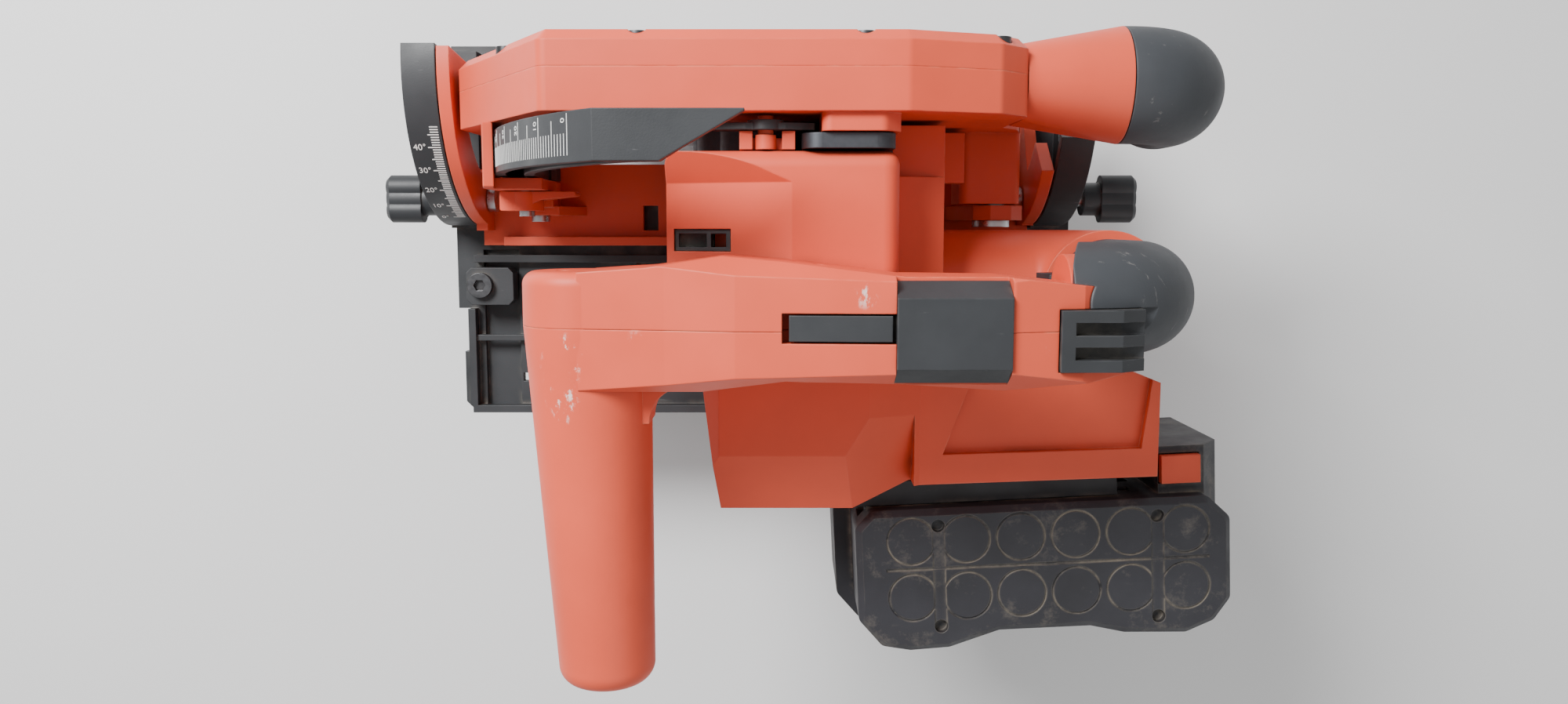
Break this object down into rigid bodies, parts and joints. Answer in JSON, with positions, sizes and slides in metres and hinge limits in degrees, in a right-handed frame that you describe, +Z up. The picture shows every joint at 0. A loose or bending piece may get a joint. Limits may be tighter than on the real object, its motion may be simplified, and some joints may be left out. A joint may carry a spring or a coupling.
{
  "type": "cordless circular saw",
  "caption": "Battery circular saw with blade on the right, tilting base, depth arc, D-handle, front handle, swivel dust port and slide-on battery pack",
  "frame": {"origin": "on the sole plane, straight below the arbor, in the plane of the blade: the cutting line", "axes": "+X is the cutting direction, +Y is towards the motor and battery side, +Z is up, away from the work"},
  "size_m": [0.3155, 0.2234, 0.236],
  "materials": {
    "red": "satin",
    "charcoal": "matte",
    "grey_rubber": "matte",
    "steel": "satin",
    "dark_steel": "satin",
    "cast": "cast",
    "blade": "ground",
    "copper": "satin",
    "board": "satin",
    "lens": "clear",
    "cell": "satin"
  },
  "bodies": {
    "base": {"base_plate": "charcoal", "guide_clamp_block": "charcoal", "front_bevel_quadrant": "charcoal", "rear_bevel_quadrant": "charcoal", "quadrant_screws": "dark_steel", "bevel_pivot_pins": "steel"},
    "guide_screw": {"guide_clamp_screw": "dark_steel"},
    "tilt": {"tilt_frame": "red", "bevel_bolts": "steel", "depth_arc": "charcoal", "depth_pivot_pin": "steel", "arc_screw": "steel"},
    "front_knob": {"front_bevel_knob": "charcoal"},
    "rear_knob": {"rear_bevel_knob": "charcoal"},
    "saw": {"guard_outer": "red", "guard_inner": "red", "guard_screws": "dark_steel", "chip_chute": "red", "gear_case": "cast", "shaft_bearings": "steel", "motor_stator": "copper", "motor_housing": "red", "vent_grille": "charcoal", "work_lamp": "lens", "end_housing": "red", "battery_dock": "charcoal", "terminal_block": "copper", "control_board": "board", "handle_right_shell": "red", "handle_left_shell": "red", "soft_grip": "grey_rubber", "saddle_pad": "charcoal", "trigger_switch": "charcoal", "handle_screws": "dark_steel", "depth_pointer": "red", "depth_clamp_bolt": "steel", "lock_bracket": "red", "guard_spring": "steel"},
    "clamp_lever": {"depth_clamp_lever": "red"},
    "port": {"dust_port": "grey_rubber"},
    "spindle": {"arbor": "steel", "spindle_gear": "steel", "inner_flange": "steel", "outer_flange": "steel", "blade_bolt": "steel", "saw_blade": "blade"},
    "intermediate": {"intermediate_gear": "steel"},
    "rotor": {"motor_rotor": "dark_steel", "cooling_fan": "charcoal"},
    "retracting_guard": {"lower_guard": "steel", "guard_lever": "charcoal"},
    "lock_off": {"lock_off_lever": "charcoal"},
    "trigger": {"trigger": "charcoal"},
    "spindle_lock": {"spindle_lock": "charcoal"},
    "key": {"hex_key": "steel", "hex_key_grip": "charcoal"},
    "battery": {"battery_lower_case": "charcoal", "battery_upper_case": "charcoal", "battery_cells": "cell"},
    "latch": {"battery_latch": "red"}
  },
  "joints": [
    {"name": "bevel_tilt", "type": "hinge", "parent": "base", "child": "tilt", "pos_m": [0, -0.012, 0.011], "axis": [1, 0, 0], "range_deg": [0, 50]},
    {"name": "depth_swing", "type": "hinge", "parent": "tilt", "child": "saw", "pos_m": [-0.092, 0.03, 0.04], "axis": [0, -1, 0], "range_deg": [0, 41]},
    {"name": "guide_screw_turn", "type": "hinge", "parent": "base", "child": "guide_screw", "pos_m": [0.109, 0.068, 0.015], "axis": [0, 0, 1], "range_deg": [0, 360]},
    {"name": "front_knob_turn", "type": "hinge", "parent": "tilt", "child": "front_knob", "pos_m": [0.13, 0.03355, 0.0174], "axis": [1, 0, 0], "range_deg": [0, 180]},
    {"name": "rear_knob_turn", "type": "hinge", "parent": "tilt", "child": "rear_knob", "pos_m": [-0.13, 0.03355, 0.0174], "axis": [-1, 0, 0], "range_deg": [0, 180]},
    {"name": "depth_clamp_turn", "type": "hinge", "parent": "saw", "child": "clamp_lever", "pos_m": [0.08349, 0.034, 0.04153], "axis": [0, 1, 0], "range_deg": [0, 60]},
    {"name": "port_swivel", "type": "hinge", "parent": "saw", "child": "port", "pos_m": [-0.13, -0.002, 0.092], "axis": [1, 0, 0], "range_deg": [-90, 90]},
    {"name": "blade_spin", "type": "hinge", "parent": "saw", "child": "spindle", "pos_m": [0, 0, 0.03], "axis": [0, 1, 0], "continuous": true},
    {"name": "intermediate_spin", "type": "hinge", "parent": "saw", "child": "intermediate", "pos_m": [-0.00261, 0.016, 0.05486], "axis": [0, 1, 0], "continuous": true},
    {"name": "rotor_spin", "type": "hinge", "parent": "saw", "child": "rotor", "pos_m": [-0.01248, 0.06, 0.07509], "axis": [0, 1, 0], "continuous": true},
    {"name": "guard_retract", "type": "hinge", "parent": "saw", "child": "retracting_guard", "pos_m": [0, 0, 0.03], "axis": [0, 1, 0], "range_deg": [0, 100], "stiffness_Nm_per_rad": 0.15, "springref_deg": -34.38},
    {"name": "lock_off_press", "type": "hinge", "parent": "saw", "child": "lock_off", "pos_m": [-0.056, 0.072, 0.1616], "axis": [0, 1, 0], "range_deg": [0, 4], "stiffness_Nm_per_rad": 0.4, "springref_deg": -2.86},
    {"name": "trigger_pull", "type": "slide", "parent": "saw", "child": "trigger", "axis": [-1, 0, 0], "range_m": [0, 0.005], "stiffness_N_per_m": 600, "springref_m": -0.003},
    {"name": "spindle_lock_press", "type": "hinge", "parent": "saw", "child": "spindle_lock", "pos_m": [-0.008, 0.014, 0.122], "axis": [0, 1, 0], "range_deg": [0, 6], "stiffness_Nm_per_rad": 0.4, "springref_deg": -2.86},
    {"name": "hex_key_slide", "type": "slide", "parent": "saw", "child": "key", "axis": [-1, 0, 0], "range_m": [0, 0.062]},
    {"name": "battery_slide", "type": "slide", "parent": "saw", "child": "battery", "axis": [-0.9988, -0.0489, 0], "range_m": [0, 0.1]},
    {"name": "latch_press", "type": "slide", "parent": "battery", "child": "latch", "axis": [0, 0, -1], "range_m": [0, 0.0024], "stiffness_N_per_m": 700, "springref_m": -0.002}
  ],
  "couplings": [
    {"joint": "intermediate_spin", "follows": "blade_spin", "ratio": -2.3333},
    {"joint": "rotor_spin", "follows": "blade_spin", "ratio": 6.4167}
  ]
}
